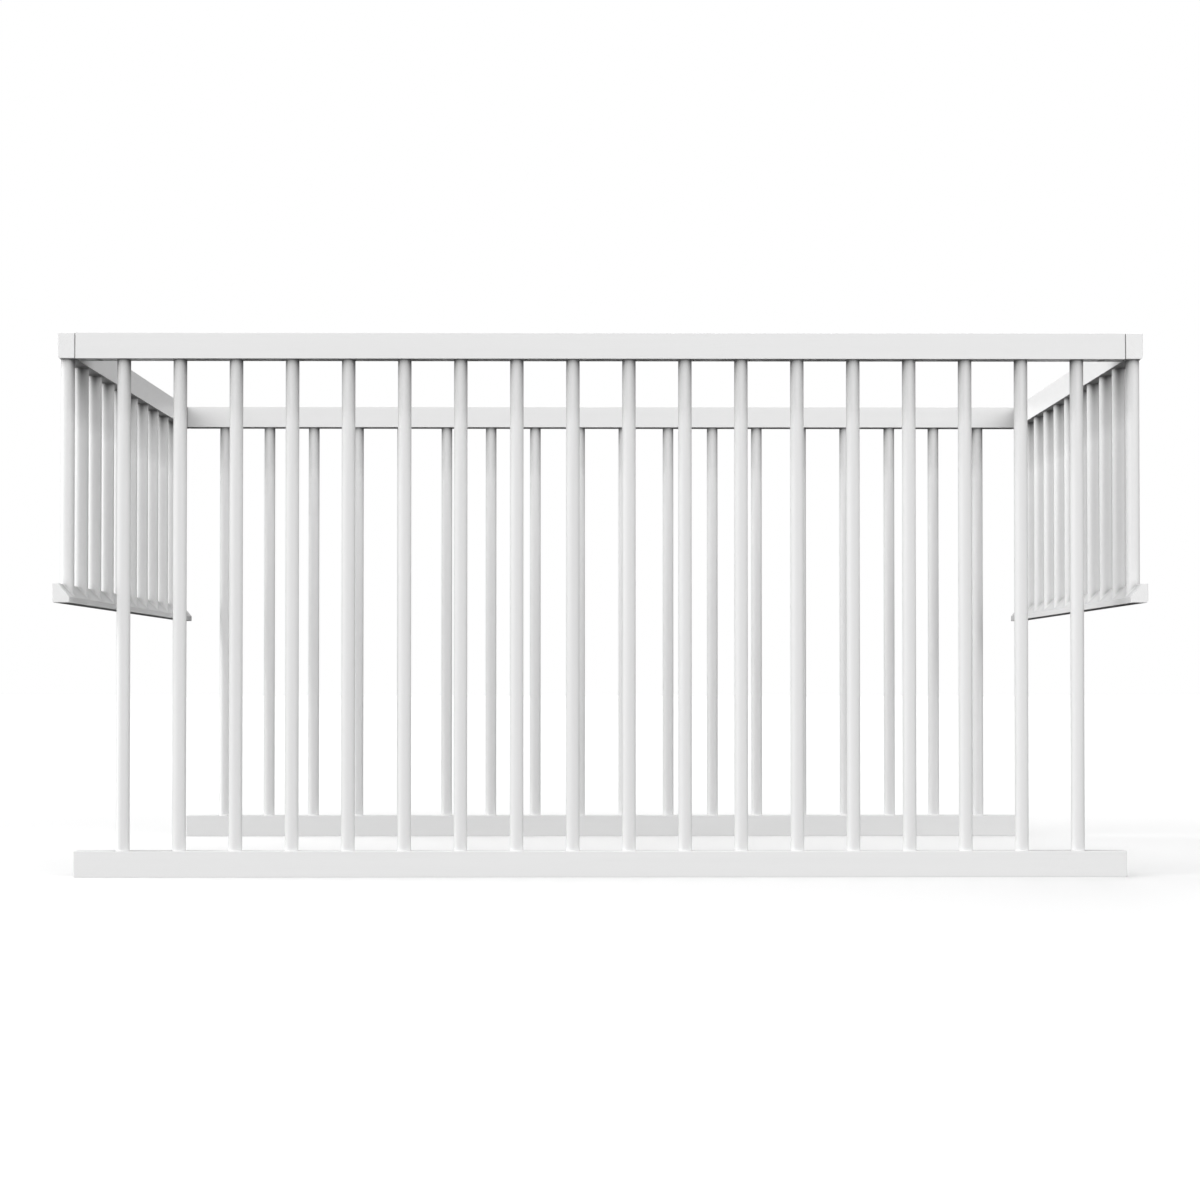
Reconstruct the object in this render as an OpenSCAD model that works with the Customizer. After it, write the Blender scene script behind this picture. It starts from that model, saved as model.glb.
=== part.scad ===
// Slatted wooden playpen: two tall long panels, joined at the top corners by two half-height end panels.
// X is the long direction, the front panel stands towards -Y, and Z = 0 is the floor.

/* [Dowels] */
// Distance between neighbouring dowel centres, the same on all four sides
dowel_pitch = 75; // [68:1:80]
// Diameter of a dowel
dowel_d = 18; // [15:0.5:20]
// Dowels in the front panel, and as many in the back panel
long_dowel_count = 18; // [6:1:18]
// Dowels in each end panel, corner dowels included
end_dowel_count = 11; // [7:1:13]
// Depth of a dowel's socket in a top rail and in a long panel's bottom rail
socket_depth = 15; // [10:1:15]

/* [Rails] */
// Overall height
height = 725; // [600:5:800]
// Thickness of every rail
rail_t = 23; // [22:1:30]
// Height of the top rails and of the long panels' bottom rails
rail_h = 34.5; // [34:0.5:44]
// Rounding along a rail's long edges
rail_edge_r = 0.5; // [0.5:0.5:3]
// Rounding around a rail's ends
rail_end_r = 1.2; // [0.5:0.1:1.5]
// Rounding along the lower outer edge of the end panels' rails
outer_edge_r = 4; // [2:0.5:6]

/* [End panels' bottom rails] */
// Height of the underside above the floor
end_rail_z = 364; // [250:1:420]
// Height of the rail itself
end_rail_h = 26; // [24:1:34]
// Length that each end reaches past the long panels
end_rail_overhang = 24; // [10:1:50]
// Width of the flat on top, along the outer edge
end_rail_flat = 8; // [6:0.5:12]
// Drop of the bevel towards the play space
end_rail_bevel = 18; // [8:1:18]
// Wood left below a dowel's socket
end_rail_floor = 5; // [4:1:6]

/* [Corner fittings] */
// Diameter of the bolt's shank
bolt_d = 6; // [5:0.5:6]
// Diameter of the bolt's round head
head_d = 10; // [8:0.5:10]
// Height of the bolt's head
head_h = 6; // [4:1:6]
// Distance across the flats of the hexagon socket in the head
hex_af = 5; // [3:0.5:5]
// Diameter of a barrel nut
nut_d = 10; // [8:0.5:10]
// Length of a barrel nut
nut_l = 14; // [12:1:14]
// Distance from the end rail to the barrel nut's centre
nut_inset = 30; // [20:1:34]
// Diameter of a locating pin
pin_d = 6; // [4:0.5:6]
// Length of a locating pin
pin_l = 24; // [16:1:30]

/* [Hidden] */
$fn = 96;

// Hairline between a long top rail's end and the end rail
seam_gap = 0.4;
// Gaps around glued dowels and pins, the bolt's shank, its head, the barrel nut and the bolt's thread
glue_gap = 0.05;
bolt_gap = 0.4;
head_gap = 0.75;
nut_gap = 0.1;
thread_gap = 0.05;
// Depth of the bolt's head below the rail's face, and length of its tip past the barrel nut
head_recess = 1;
tip_length = 3;
// The bolt lies nearer the play space than the long rail's centre line, and the locating pin further out
bolt_offset = 3;
pin_offset = 6;
// Bolt's axis below the top of the rail
bolt_drop = 11;
// Screwdriver slot in the barrel nut's lower end
slot_w = 1.2;
slot_depth = 1.5;
// Chamfer on the ends of dowels, pins, bolts and nuts
dowel_chamfer = 1.5;
small_chamfer = 0.6;
// Length that a cut runs past the face it starts from
past = 1;

// Centre lines of the long panels' and of the end panels' dowels
long_y = (end_dowel_count - 1) * dowel_pitch / 2;
end_x = (long_dowel_count + 1) * dowel_pitch / 2;

long_rail_l = 2 * end_x - rail_t - 2 * seam_gap;
end_top_l = 2 * long_y + rail_t;
end_bottom_l = end_top_l + 2 * end_rail_overhang;
top_rail_z = height - rail_h;
end_rail_top = end_rail_z + end_rail_h;

dowel_top = top_rail_z + socket_depth;
long_dowel_bottom = rail_h - socket_depth;
end_dowel_bottom = end_rail_z + end_rail_floor;

seam_x = end_x - rail_t / 2;
nut_x = seam_x - nut_inset;
shoulder_x = end_x + rail_t / 2 - head_recess - head_h;
bolt_l = shoulder_x - nut_x + nut_d / 2 + tip_length;
bolt_y = long_y - bolt_offset;
pin_y = long_y + pin_offset;
fitting_z = height - bolt_drop;

white_rail = [0.94, 0.94, 0.93];
white_dowel = [0.88, 0.88, 0.87];
zinc = [0.70, 0.71, 0.73];
beech = [0.82, 0.66, 0.46];

function two_digits(i) = str(i < 10 ? "0" : "", i);
function dowel_name(panel, i) = str(panel, "_dowel_", two_digits(i));
// Position along its panel of dowel i out of count
function place(i, count) = (i - (count + 1) / 2) * dowel_pitch;

function unit(v) = v / norm(v);

// Convex outline with an arc of its own radius at each corner
module rounded_outline(points, radii) {
    n = len(points);
    ahead = [for (i = [0 : n - 1]) unit(points[(i + 1) % n] - points[i])];
    behind = [for (i = [0 : n - 1]) unit(points[(i + n - 1) % n] - points[i])];
    half = [for (i = [0 : n - 1]) acos(ahead[i] * behind[i]) / 2];
    reach = [for (i = [0 : n - 1]) radii[i] / tan(half[i])];
    polygon([
        for (i = [0 : n - 1])
            for (direction = [behind[i], ahead[i]])
                points[i] + direction * reach[i]
    ]);
    for (i = [0 : n - 1])
        translate(points[i] + unit(ahead[i] + behind[i]) * radii[i] / sin(half[i]))
            circle(radii[i]);
}

module rounded_rect(w, h, r) {
    rounded_outline([[-w, -h] / 2, [w, -h] / 2, [w, h] / 2, [-w, h] / 2], [r, r, r, r]);
}

// Rail along Y, with its profile as the child and every edge around its ends rounded
module rail(length, bottom, top) {
    intersection() {
        rotate([90, 0, 0])
            linear_extrude(length, center = true)
                children();
        translate([0, 0, bottom - past])
            linear_extrude(top - bottom + 2 * past)
                rounded_rect(rail_t, length, rail_end_r);
        translate([0, 0, (bottom + top) / 2])
            rotate([90, 0, 90])
                linear_extrude(rail_t + 2 * past, center = true)
                    rounded_rect(length, top - bottom, rail_end_r);
    }
}

// Long panel's rail, in its place at the back
module long_rail(bottom) {
    translate([0, long_y, 0])
        rotate([0, 0, 90])
            rail(long_rail_l, bottom, bottom + rail_h)
                translate([0, bottom + rail_h / 2])
                    rounded_rect(rail_t, rail_h, rail_edge_r);
}

// Sockets for one long panel's dowels, at the back
module long_sockets(bottom) {
    for (i = [1 : long_dowel_count])
        translate([place(i, long_dowel_count), long_y, bottom])
            cylinder(r = dowel_d / 2 + glue_gap, h = socket_depth + past);
}

// Sockets for one end panel's dowels, at the right-hand end
module end_sockets(bottom, depth) {
    for (i = [1 : end_dowel_count])
        translate([end_x, place(i, end_dowel_count), bottom])
            cylinder(r = dowel_d / 2 + glue_gap, h = depth);
}

// Round rod with chamfered ends, along Z from zero
module rod(d, length, chamfer) {
    r = d / 2;
    rotate_extrude()
        polygon([
            [0, 0], [r - chamfer, 0], [r, chamfer],
            [r, length - chamfer], [r - chamfer, length], [0, length]
        ]);
}

// Turns a shape that stands along Z so that it lies along X
module lying() {
    rotate([0, 90, 0])
        children();
}

// Draws one corner's fittings or holes at both ends, or at all four corners
module both_ends() {
    for (side = [0, 1])
        mirror([side, 0, 0])
            children();
}

module both_panels() {
    for (side = [0, 1])
        mirror([0, side, 0])
            children();
}

module to_front() {
    mirror([0, 1, 0])
        children();
}

module to_left() {
    mirror([1, 0, 0])
        children();
}

// Everything drilled at the right-hand back corner, through the end rail into the long rail
module corner_holes() {
    tip_x = shoulder_x - bolt_l - past;
    translate([tip_x, bolt_y, fitting_z])
        lying()
            cylinder(d = bolt_d + 2 * bolt_gap, h = shoulder_x - tip_x + past);
    translate([shoulder_x, bolt_y, fitting_z])
        lying()
            cylinder(d = head_d + 2 * head_gap, h = head_h + head_recess + past);
    translate([nut_x, bolt_y, top_rail_z - past])
        cylinder(d = nut_d + 2 * nut_gap, h = fitting_z + nut_l / 2 - top_rail_z + past);
    translate([seam_x - pin_l / 2, pin_y, fitting_z])
        lying()
            cylinder(d = pin_d + 2 * glue_gap, h = pin_l);
}

module long_top_rail() {
    difference() {
        long_rail(top_rail_z);
        long_sockets(top_rail_z - past);
        both_ends()
            corner_holes();
    }
}

module long_bottom_rail() {
    difference() {
        long_rail(0);
        long_sockets(long_dowel_bottom);
    }
}

module front_top_rail() {
    color(white_rail)
        to_front()
            long_top_rail();
}

module front_bottom_rail() {
    color(white_rail)
        to_front()
            long_bottom_rail();
}

module back_top_rail() {
    color(white_rail)
        long_top_rail();
}

module back_bottom_rail() {
    color(white_rail)
        long_bottom_rail();
}

// Top rail of the right-hand end panel, with a fuller rounding along its lower outer edge
module end_top_rail() {
    half_t = rail_t / 2;
    difference() {
        translate([end_x, 0, 0])
            rail(end_top_l, top_rail_z, height)
                rounded_outline(
                    [[-half_t, top_rail_z], [half_t, top_rail_z], [half_t, height], [-half_t, height]],
                    [rail_edge_r, outer_edge_r, rail_edge_r, rail_edge_r]
                );
        end_sockets(top_rail_z - past, socket_depth + past);
        both_panels()
            corner_holes();
    }
}

// Bottom rail of the right-hand end panel: bevelled towards the play space, and longer than the panel
module end_bottom_rail() {
    half_t = rail_t / 2;
    difference() {
        translate([end_x, 0, 0])
            rail(end_bottom_l, end_rail_z, end_rail_top)
                rounded_outline(
                    [
                        [-half_t, end_rail_z], [half_t, end_rail_z], [half_t, end_rail_top],
                        [half_t - end_rail_flat, end_rail_top], [-half_t, end_rail_top - end_rail_bevel]
                    ],
                    [rail_edge_r, outer_edge_r, rail_edge_r, rail_edge_r, rail_edge_r]
                );
        end_sockets(end_dowel_bottom, end_rail_h);
    }
}

module left_top_rail() {
    color(white_rail)
        to_left()
            end_top_rail();
}

module left_bottom_rail() {
    color(white_rail)
        to_left()
            end_bottom_rail();
}

module right_top_rail() {
    color(white_rail)
        end_top_rail();
}

module right_bottom_rail() {
    color(white_rail)
        end_bottom_rail();
}

// One dowel of the back panel, counted from the left
module long_dowel(i) {
    translate([place(i, long_dowel_count), long_y, long_dowel_bottom])
        rod(dowel_d, dowel_top - long_dowel_bottom, dowel_chamfer);
}

module front_dowel(i) {
    color(white_dowel)
        to_front()
            long_dowel(i);
}

module back_dowel(i) {
    color(white_dowel)
        long_dowel(i);
}

module end_dowels() {
    for (i = [1 : end_dowel_count])
        translate([end_x, place(i, end_dowel_count), end_dowel_bottom])
            rod(dowel_d, dowel_top - end_dowel_bottom, dowel_chamfer);
}

module left_dowels() {
    color(white_dowel)
        to_left()
            end_dowels();
}

module right_dowels() {
    color(white_dowel)
        end_dowels();
}

module corner_bolts() {
    color(zinc)
        both_ends()
            both_panels()
                translate([shoulder_x, bolt_y, fitting_z])
                    lying()
                        difference() {
                            union() {
                                translate([0, 0, -bolt_l])
                                    rod(bolt_d, bolt_l + past, small_chamfer);
                                rod(head_d, head_h, small_chamfer);
                            }
                            translate([0, 0, head_h / 2])
                                cylinder(d = hex_af / cos(30), h = head_h, $fn = 6);
                        }
}

module barrel_nuts() {
    color(zinc)
        both_ends()
            both_panels()
                translate([nut_x, bolt_y, fitting_z])
                    difference() {
                        translate([0, 0, -nut_l / 2])
                            rod(nut_d, nut_l, small_chamfer);
                        lying()
                            cylinder(d = bolt_d + 2 * thread_gap, h = nut_d + 2 * past, center = true);
                        translate([0, 0, -nut_l / 2])
                            cube([slot_w, nut_d + 2 * past, 2 * slot_depth], center = true);
                    }
}

module locating_pins() {
    color(beech)
        both_ends()
            both_panels()
                translate([seam_x - pin_l / 2, pin_y, fitting_z])
                    lying()
                        rod(pin_d, pin_l, small_chamfer);
}

front_top_rail();
front_bottom_rail();
back_top_rail();
back_bottom_rail();
left_top_rail();
left_bottom_rail();
right_top_rail();
right_bottom_rail();
for (i = [1 : long_dowel_count]) {
    front_dowel(i);
    back_dowel(i);
}
left_dowels();
right_dowels();
corner_bolts();
barrel_nuts();
locating_pins();
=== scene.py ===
"""Looks of the slatted wooden playpen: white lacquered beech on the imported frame, in metres."""

import math

import bmesh
import bpy
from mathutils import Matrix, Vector


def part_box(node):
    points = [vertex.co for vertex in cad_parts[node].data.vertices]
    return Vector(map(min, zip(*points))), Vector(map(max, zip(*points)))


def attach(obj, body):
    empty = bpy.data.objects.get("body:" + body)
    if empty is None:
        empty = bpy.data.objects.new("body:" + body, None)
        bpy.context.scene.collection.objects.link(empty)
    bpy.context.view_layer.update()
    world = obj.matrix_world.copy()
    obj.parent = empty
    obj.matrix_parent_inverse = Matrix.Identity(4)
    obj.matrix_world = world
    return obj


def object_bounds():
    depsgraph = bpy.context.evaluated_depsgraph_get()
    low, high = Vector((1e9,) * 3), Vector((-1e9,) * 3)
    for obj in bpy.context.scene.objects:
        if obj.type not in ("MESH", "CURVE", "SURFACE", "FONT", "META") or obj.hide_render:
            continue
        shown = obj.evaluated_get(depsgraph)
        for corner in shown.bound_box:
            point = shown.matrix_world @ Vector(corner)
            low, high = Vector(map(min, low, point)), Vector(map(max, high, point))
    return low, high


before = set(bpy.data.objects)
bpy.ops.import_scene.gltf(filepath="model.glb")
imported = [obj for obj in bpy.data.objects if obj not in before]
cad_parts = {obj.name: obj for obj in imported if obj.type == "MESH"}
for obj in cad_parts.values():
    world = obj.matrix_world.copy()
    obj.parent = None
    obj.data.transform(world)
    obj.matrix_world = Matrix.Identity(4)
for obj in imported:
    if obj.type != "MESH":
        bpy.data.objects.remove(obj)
cad_low, cad_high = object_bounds()

X, Y, Z = 0, 1, 2
BODY = "root"
LONG_PANELS = ("front", "back")
END_PANELS = ("left", "right")


# ---------------------------------------------------------------- camera

# In front of the playpen, a little lower than the end panels' bottom rails, and almost level
CAMERA_X = 0.0052
CAMERA_HEIGHT = 0.2582
CAMERA_DISTANCE = 2.7894
CAMERA_TILT = 0.84
CAMERA_TURN = -0.303
LENS = 62.87
SHIFT = (-0.0132, 0.0435)


def make_camera():
    data = bpy.data.cameras.new("camera")
    data.sensor_width = 36.0
    data.lens = LENS
    data.shift_x, data.shift_y = SHIFT
    camera = bpy.data.objects.new("camera", data)
    front_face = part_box("front_top_rail")[0].y
    camera.location = (CAMERA_X, front_face - CAMERA_DISTANCE, CAMERA_HEIGHT)
    camera.rotation_euler = (math.radians(90.0 + CAMERA_TILT), 0.0, math.radians(CAMERA_TURN))
    bpy.context.scene.collection.objects.link(camera)
    bpy.context.scene.camera = camera


# ---------------------------------------------------------------- node helpers

def new_material(name):
    """An empty material with its Principled shader, as (material, tree, shader)."""
    material = bpy.data.materials.new(name)
    material.use_nodes = True
    return material, material.node_tree, material.node_tree.nodes["Principled BSDF"]


def add(tree, kind, inputs, **settings):
    """A node with its settings made, and each input set to a value or linked to a socket."""
    node = tree.nodes.new(kind)
    for name, value in settings.items():
        setattr(node, name, value)
    for key, value in inputs.items():
        if isinstance(value, bpy.types.NodeSocket):
            tree.links.new(value, node.inputs[key])
        else:
            node.inputs[key].default_value = value
    return node


def object_place(tree):
    return add(tree, "ShaderNodeTexCoord", {}).outputs["Object"]


def surface_normal(tree):
    return add(tree, "ShaderNodeNewGeometry", {}).outputs["Normal"]


def component(tree, vector, axis):
    return add(tree, "ShaderNodeSeparateXYZ", {0: vector}).outputs[axis]


def math_node(tree, operation, a, b=0.0):
    return add(tree, "ShaderNodeMath", {0: a, 1: b}, operation=operation).outputs[0]


def vector_node(tree, operation, output, inputs):
    return add(tree, "ShaderNodeVectorMath", inputs, operation=operation).outputs[output]


def remap(tree, value, low, high, to_low, to_high):
    inputs = {"Value": value, "From Min": low, "From Max": high, "To Min": to_low, "To Max": to_high}
    return add(tree, "ShaderNodeMapRange", inputs).outputs["Result"]


def mix_colour(tree, factor, a, b):
    inputs = {"Factor": factor, 6: (*a, 1.0), 7: (*b, 1.0)}
    return add(tree, "ShaderNodeMix", inputs, data_type="RGBA").outputs[2]


def stretched(tree, place, axis, cells):
    """Coordinates for a pattern along one axis, from its cells per metre as (across, along)."""
    across, along = cells
    scale = [across] * 3
    scale[axis] = along
    return vector_node(tree, "MULTIPLY", 0, {0: place, 1: scale})


def noise(tree, place, axis, cells, detail=1.0):
    inputs = {"Vector": stretched(tree, place, axis, cells), "Scale": 1.0, "Detail": detail}
    return add(tree, "ShaderNodeTexNoise", inputs).outputs["Fac"]


def bump(tree, shader, height, strength, distance):
    node = add(tree, "ShaderNodeBump", {"Strength": strength, "Distance": distance, "Height": height})
    tree.links.new(node.outputs["Normal"], shader.inputs["Normal"])


def end_face_mask(tree, axis):
    """1 on the faces that look along the grain, 0 elsewhere."""
    part = component(tree, surface_normal(tree), axis)
    return remap(tree, math_node(tree, "ABSOLUTE", part), 0.90, 0.98, 0.0, 1.0)


# ---------------------------------------------------------------- materials

# Patterns in the wood and on its lacquer, in cells per metre across and along the grain
BROAD_FIGURE = (55.0, 1.6)
PORES = (1100.0, 28.0)
ORANGE_PEEL = (480.0, 480.0)
GROWTH_RINGS = 110.0
BARE_FIGURE = (300.0, 12.0)
BARE_FLECKS = (1600.0, 120.0)

# Patterns on plated fittings
ZINC_BLOOM = (260.0, 260.0)
ZINC_MARKS = (4200.0, 300.0)
PALE_ZINC = (0.72, 0.73, 0.76)
DULL_ZINC = (0.60, 0.61, 0.62)

PALE_BEECH = (0.70, 0.49, 0.31)
DARK_BEECH = (0.46, 0.28, 0.16)

# How much darker the grain's lines are than the lacquer round them
GRAIN_CONTRAST = 0.02

# Painted shade: wood that its neighbours close in is painted darker, where shade falls. How far away a
# neighbour still counts, and how far the look round is turned upwards, so that what is above counts most
PAINTED_SHADE_REACH = 0.085
PAINTED_SHADE_TILT = 1.0
PAINTED_SHADE_SAMPLES = 16


def painted_corner_shade(tree, along, start, depth):
    """Painted shade: 1 on open wood, and less where it is closed in, from this distance along the grain
    onwards.
    """
    normal = surface_normal(tree)
    rise = component(tree, normal, Z)
    tilt = math_node(tree, "MULTIPLY", math_node(tree, "ADD", rise, 1.0), PAINTED_SHADE_TILT)
    upwards = add(tree, "ShaderNodeCombineXYZ", {"Z": tilt}).outputs[0]
    look = vector_node(tree, "ADD", 0, {0: normal, 1: upwards})
    look = vector_node(tree, "NORMALIZE", 0, {0: look})
    # The piece itself closes off the part of the look round that lies behind its surface
    facing = vector_node(tree, "DOT_PRODUCT", "Value", {0: normal, 1: look})
    outside = remap(tree, facing, -1.0, 1.0, 0.0, 1.0)
    inputs = {"Normal": look, "Distance": PAINTED_SHADE_REACH}
    seen = add(tree, "ShaderNodeAmbientOcclusion", inputs, samples=PAINTED_SHADE_SAMPLES).outputs["AO"]
    closed = math_node(tree, "SUBTRACT", outside, seen)
    from_middle = math_node(tree, "ABSOLUTE", along)
    painted_dimming = remap(tree, from_middle, start, start + PAINTED_SHADE_REACH, 0.0, -depth)
    return math_node(tree, "EXPONENT", math_node(tree, "MULTIPLY", closed, painted_dimming))


def lacquered_wood(name, axis, white, painted_shade_from, painted_shade_depth):
    """White satin lacquer over beech whose grain, running along one axis, just shows through; shade is
    painted in where neighbours close it in.
    """
    material, tree, shader = new_material(name)
    place = object_place(tree)
    figure = noise(tree, place, axis, BROAD_FIGURE, detail=3.0)
    flecks = remap(tree, noise(tree, place, axis, PORES), 0.56, 0.72, 0.0, 1.0)
    peel = noise(tree, place, axis, ORANGE_PEEL)
    rings = add(
        tree, "ShaderNodeTexWave",
        {"Vector": place, "Scale": GROWTH_RINGS, "Distortion": 3.0, "Detail": 2.0, "Detail Scale": 0.6},
        wave_type="RINGS", rings_direction="XYZ"[axis],
    ).outputs["Fac"]
    ends = end_face_mask(tree, axis)

    shade = math_node(tree, "MULTIPLY", flecks, 0.35)
    shade = math_node(tree, "ADD", shade, remap(tree, figure, 0.35, 0.65, 0.0, 0.65))
    colour = mix_colour(tree, shade, (white,) * 3, (white - GRAIN_CONTRAST,) * 3)
    # Painted shade: the colour is darkened where neighbouring pieces close the wood in
    painted_dimming = painted_corner_shade(tree, component(tree, place, axis), painted_shade_from, painted_shade_depth)
    colour = vector_node(tree, "SCALE", 0, {0: colour, "Scale": painted_dimming})
    tree.links.new(colour, shader.inputs["Base Color"])

    rough = remap(tree, figure, 0.3, 0.7, 0.36, 0.45)
    rough = math_node(tree, "ADD", rough, math_node(tree, "MULTIPLY", ends, 0.10))
    tree.links.new(rough, shader.inputs["Roughness"])

    sides = math_node(tree, "SUBTRACT", 1.0, ends)
    height = math_node(tree, "MULTIPLY", math_node(tree, "MULTIPLY", flecks, sides), -0.5)
    height = math_node(tree, "ADD", height, math_node(tree, "MULTIPLY", peel, 0.45))
    height = math_node(tree, "ADD", height, math_node(tree, "MULTIPLY", rings, ends))
    bump(tree, shader, height, strength=0.35, distance=0.00025)
    shader.inputs["Specular IOR Level"].default_value = 0.45
    shader.inputs["Coat Weight"].default_value = 0.15
    shader.inputs["Coat Roughness"].default_value = 0.22
    return material


def zinc_plate(name):
    """Bright zinc with the faint cloudy bloom and fine drawing marks of plated fittings."""
    material, tree, shader = new_material(name)
    place = object_place(tree)
    bloom = noise(tree, place, X, ZINC_BLOOM, detail=3.0)
    cloud = remap(tree, bloom, 0.35, 0.65, 0.0, 1.0)
    tree.links.new(mix_colour(tree, cloud, PALE_ZINC, DULL_ZINC), shader.inputs["Base Color"])
    tree.links.new(remap(tree, bloom, 0.3, 0.7, 0.24, 0.42), shader.inputs["Roughness"])
    bump(tree, shader, noise(tree, place, X, ZINC_MARKS), strength=0.2, distance=0.0001)
    shader.inputs["Metallic"].default_value = 1.0
    return material


def bare_beech(name, axis):
    """Unfinished beech: fine dark flecks on a pale pinkish brown."""
    material, tree, shader = new_material(name)
    place = object_place(tree)
    figure = noise(tree, place, axis, BARE_FIGURE, detail=4.0)
    flecks = noise(tree, place, axis, BARE_FLECKS)
    shade = math_node(tree, "MULTIPLY", remap(tree, flecks, 0.55, 0.7, 0.4, 1.0), figure)
    tree.links.new(mix_colour(tree, shade, PALE_BEECH, DARK_BEECH), shader.inputs["Base Color"])
    bump(tree, shader, flecks, strength=0.3, distance=0.0002)
    shader.inputs["Roughness"].default_value = 0.7
    return material


def dress(nodes, material):
    for name in nodes:
        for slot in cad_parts[name].material_slots:
            slot.material = material


def dress_everything():
    """Every node gets its finish. Returns the long panels' dowel lacquer, which the fillets share."""
    # Painted shade darkens long rails at their ends, long panels' dowels under the top rail, end panels
    # all over
    back_low, back_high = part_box("back_top_rail")
    ends = back_high.x - 2 * PAINTED_SHADE_REACH
    tops = back_low.z - 2 * PAINTED_SHADE_REACH
    all_over = -PAINTED_SHADE_REACH
    long_rail = lacquered_wood("rail_lacquer_x", X, white=0.81, painted_shade_from=ends, painted_shade_depth=0.8)
    end_rail = lacquered_wood("rail_lacquer_y", Y, white=0.83, painted_shade_from=all_over, painted_shade_depth=2.8)
    long_dowel = lacquered_wood("dowel_lacquer", Z, white=0.765, painted_shade_from=tops, painted_shade_depth=2.6)
    end_dowel = lacquered_wood("end_dowel_lacquer", Z, white=0.79, painted_shade_from=all_over, painted_shade_depth=2.6)
    for panel in LONG_PANELS:
        dress(long_dowel_names(panel), long_dowel)
        dress([f"{panel}_top_rail", f"{panel}_bottom_rail"], long_rail)
    for panel in END_PANELS:
        dress([f"{panel}_dowels"], end_dowel)
        dress([f"{panel}_top_rail", f"{panel}_bottom_rail"], end_rail)
    dress(["corner_bolts", "barrel_nuts"], zinc_plate("zinc_plate"))
    dress(["locating_pins"], bare_beech("bare_beech", X))
    return long_dowel


# ---------------------------------------------------------------- lacquer fillets

# Where a dowel enters a rail, the lacquer fills the corner with a small hollow fillet.
FILLET = 0.0009
FILLET_SINK = 0.0001
ARC_STEPS = 5
RING_STEPS = 72
END_DOWELS = 11
# Top of the end panels' bottom rails: a flat along the outer edge, then a bevel towards the play space
BEVEL_FLAT = 0.008
BEVEL_DROP = 0.018


def fillet_profile(radius):
    """Closed outline round a dowel, as (distance from its axis, height over the wood)."""
    outer = radius + FILLET
    arc = [
        (outer - FILLET * math.cos(a), FILLET - FILLET * math.sin(a))
        for a in (math.pi / 2 * step / ARC_STEPS for step in range(ARC_STEPS + 1))
    ]
    inner = radius - FILLET_SINK
    return arc + [(outer, -FILLET_SINK), (inner, -FILLET_SINK), (inner, FILLET)]


def add_fillet(bm, centre, radius, up, surface):
    """A ring round one dowel, standing on surface(x) and pointing up or down."""
    profile = fillet_profile(radius)
    rings = []
    for step in range(RING_STEPS):
        angle = 2 * math.pi * step / RING_STEPS
        ring = []
        for distance, height in profile:
            x = centre.x + distance * math.cos(angle)
            y = centre.y + distance * math.sin(angle)
            ring.append(bm.verts.new((x, y, surface(x) + up * height)))
        rings.append(ring)
    count = len(profile)
    for i in range(RING_STEPS):
        here, there = rings[i], rings[(i + 1) % RING_STEPS]
        for k in range(count):
            after = (k + 1) % count
            face = bm.faces.new((here[k], there[k], there[after], here[after]))
            face.smooth = k < ARC_STEPS


def make_fillets(name, material, centres, radius, up, surface):
    bm = bmesh.new()
    for centre in centres:
        add_fillet(bm, centre, radius, up, surface)
    bmesh.ops.recalc_face_normals(bm, faces=bm.faces)
    mesh = bpy.data.meshes.new(name)
    bm.to_mesh(mesh)
    bm.free()
    mesh.materials.append(material)
    piece = bpy.data.objects.new(name, mesh)
    bpy.context.scene.collection.objects.link(piece)
    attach(piece, BODY)


def long_dowel_names(panel):
    return sorted(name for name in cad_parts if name.startswith(panel + "_dowel_"))


def end_dowel_centres(panel, radius):
    low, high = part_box(panel + "_dowels")
    pitch = (high.y - low.y - 2 * radius) / (END_DOWELS - 1)
    x = (low.x + high.x) / 2
    return [Vector((x, low.y + radius + i * pitch, 0.0)) for i in range(END_DOWELS)]


def flat_surface(height):
    return lambda x: height


def bevelled_top(panel):
    """Height of an end panel's bottom rail at x."""
    low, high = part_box(panel + "_bottom_rail")
    slope = BEVEL_DROP / (high.x - low.x - BEVEL_FLAT)

    def surface(x):
        from_outside = high.x - x if panel == "right" else x - low.x
        return high.z - slope * max(0.0, from_outside - BEVEL_FLAT)

    return surface


def make_all_fillets(material):
    low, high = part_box("front_dowel_01")
    radius = (high.x - low.x) / 2
    for panel in LONG_PANELS + END_PANELS:
        if panel in LONG_PANELS:
            centres = [sum(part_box(name), Vector()) / 2 for name in long_dowel_names(panel)]
            bottom_rail = flat_surface(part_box(panel + "_bottom_rail")[1].z)
        else:
            centres = end_dowel_centres(panel, radius)
            bottom_rail = bevelled_top(panel)
        top_rail = flat_surface(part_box(panel + "_top_rail")[0].z)
        make_fillets(panel + "_upper_fillets", material, centres, radius, -1, top_rail)
        make_fillets(panel + "_lower_fillets", material, centres, radius, 1, bottom_rail)


# ---------------------------------------------------------------- stage and light

FLOOR_REACH = 40.0
FLOOR_WHITE = 0.88

# Each softbox's direction round from the front, its height over the horizon, its strength, and how
# narrow its glow is: the power that falls off round its middle
SOFTBOXES = (
    (0, 10, 0.87, 8),
    (45, 25, 3.3, 8),
    (90, 20, 0.4, 8),
    (180, 45, 3.9, 16),
    (270, 20, 5.3, 8),
    (315, 25, 1.8, 8),
)


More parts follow.
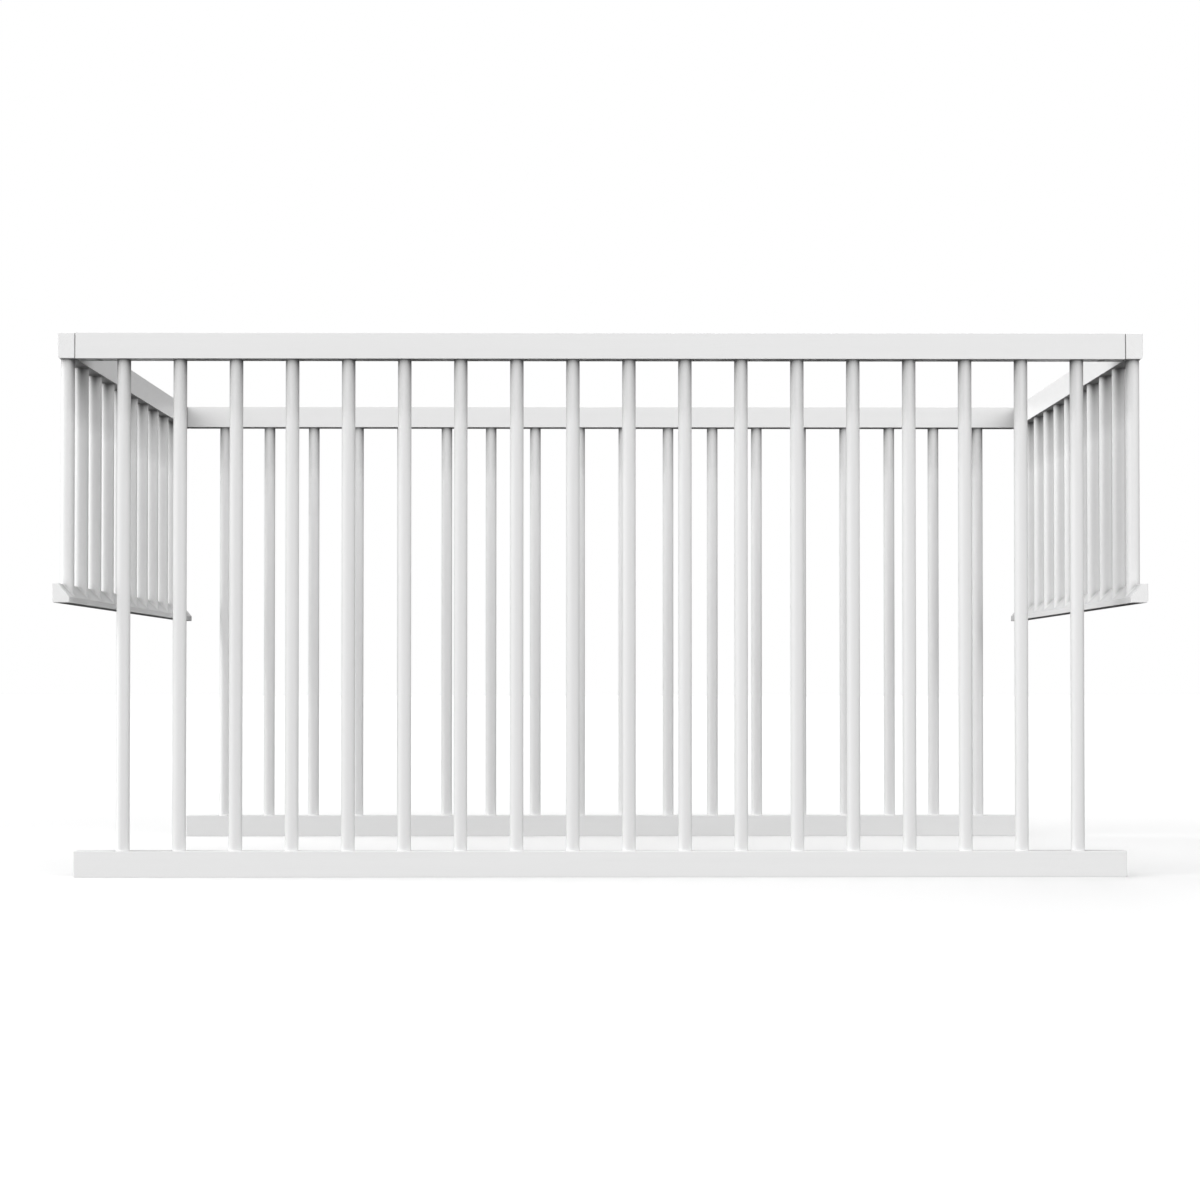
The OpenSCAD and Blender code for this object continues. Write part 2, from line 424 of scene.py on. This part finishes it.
def direction(round_angle, height_angle):
    flat = math.cos(height_angle)
    return (math.sin(round_angle) * flat, -math.cos(round_angle) * flat, math.sin(height_angle))


def make_floor():
    """Matt white paper that shows to the camera and takes shadows, and doesn't light the playpen."""
    bm = bmesh.new()
    bmesh.ops.create_grid(bm, x_segments=1, y_segments=1, size=FLOOR_REACH)
    mesh = bpy.data.meshes.new("floor")
    bm.to_mesh(mesh)
    bm.free()
    floor = bpy.data.objects.new("floor", mesh)
    floor.location.z = cad_low.z
    bpy.context.scene.collection.objects.link(floor)
    material, tree, shader = new_material("floor_paper")
    shader.inputs["Base Color"].default_value = (FLOOR_WHITE, FLOOR_WHITE, FLOOR_WHITE, 1.0)
    shader.inputs["Roughness"].default_value = 1.0
    shader.inputs["Specular IOR Level"].default_value = 0.0
    mesh.materials.append(material)
    floor.visible_diffuse = False
    floor.visible_glossy = False
    floor.visible_shadow = False


def make_world():
    """Softboxes all round for the light, and plain white for the camera."""
    world = bpy.data.worlds.new("studio")
    bpy.context.scene.world = world
    world.use_nodes = True
    tree = world.node_tree
    look = add(tree, "ShaderNodeTexCoord", {}).outputs["Generated"]
    total = 0.0
    for round_angle, height_angle, strength, narrowness in SOFTBOXES:
        towards = direction(math.radians(round_angle), math.radians(height_angle))
        facing = vector_node(tree, "DOT_PRODUCT", "Value", {0: look, 1: towards})
        glow = math_node(tree, "POWER", math_node(tree, "MAXIMUM", facing, 0.0), narrowness)
        total = math_node(tree, "ADD", math_node(tree, "MULTIPLY", glow, strength), total)
    to_camera = add(tree, "ShaderNodeLightPath", {}).outputs["Is Camera Ray"]
    seen = add(tree, "ShaderNodeMix", {"Factor": to_camera, "A": total, "B": 1.0}).outputs["Result"]
    background = tree.nodes["Background"]
    background.inputs["Color"].default_value = (1.0, 1.0, 1.0, 1.0)
    tree.links.new(seen, background.inputs["Strength"])


make_camera()
dowel_lacquer = dress_everything()
make_all_fillets(dowel_lacquer)
make_floor()
make_world()
bpy.context.scene.view_settings.view_transform = "Standard"
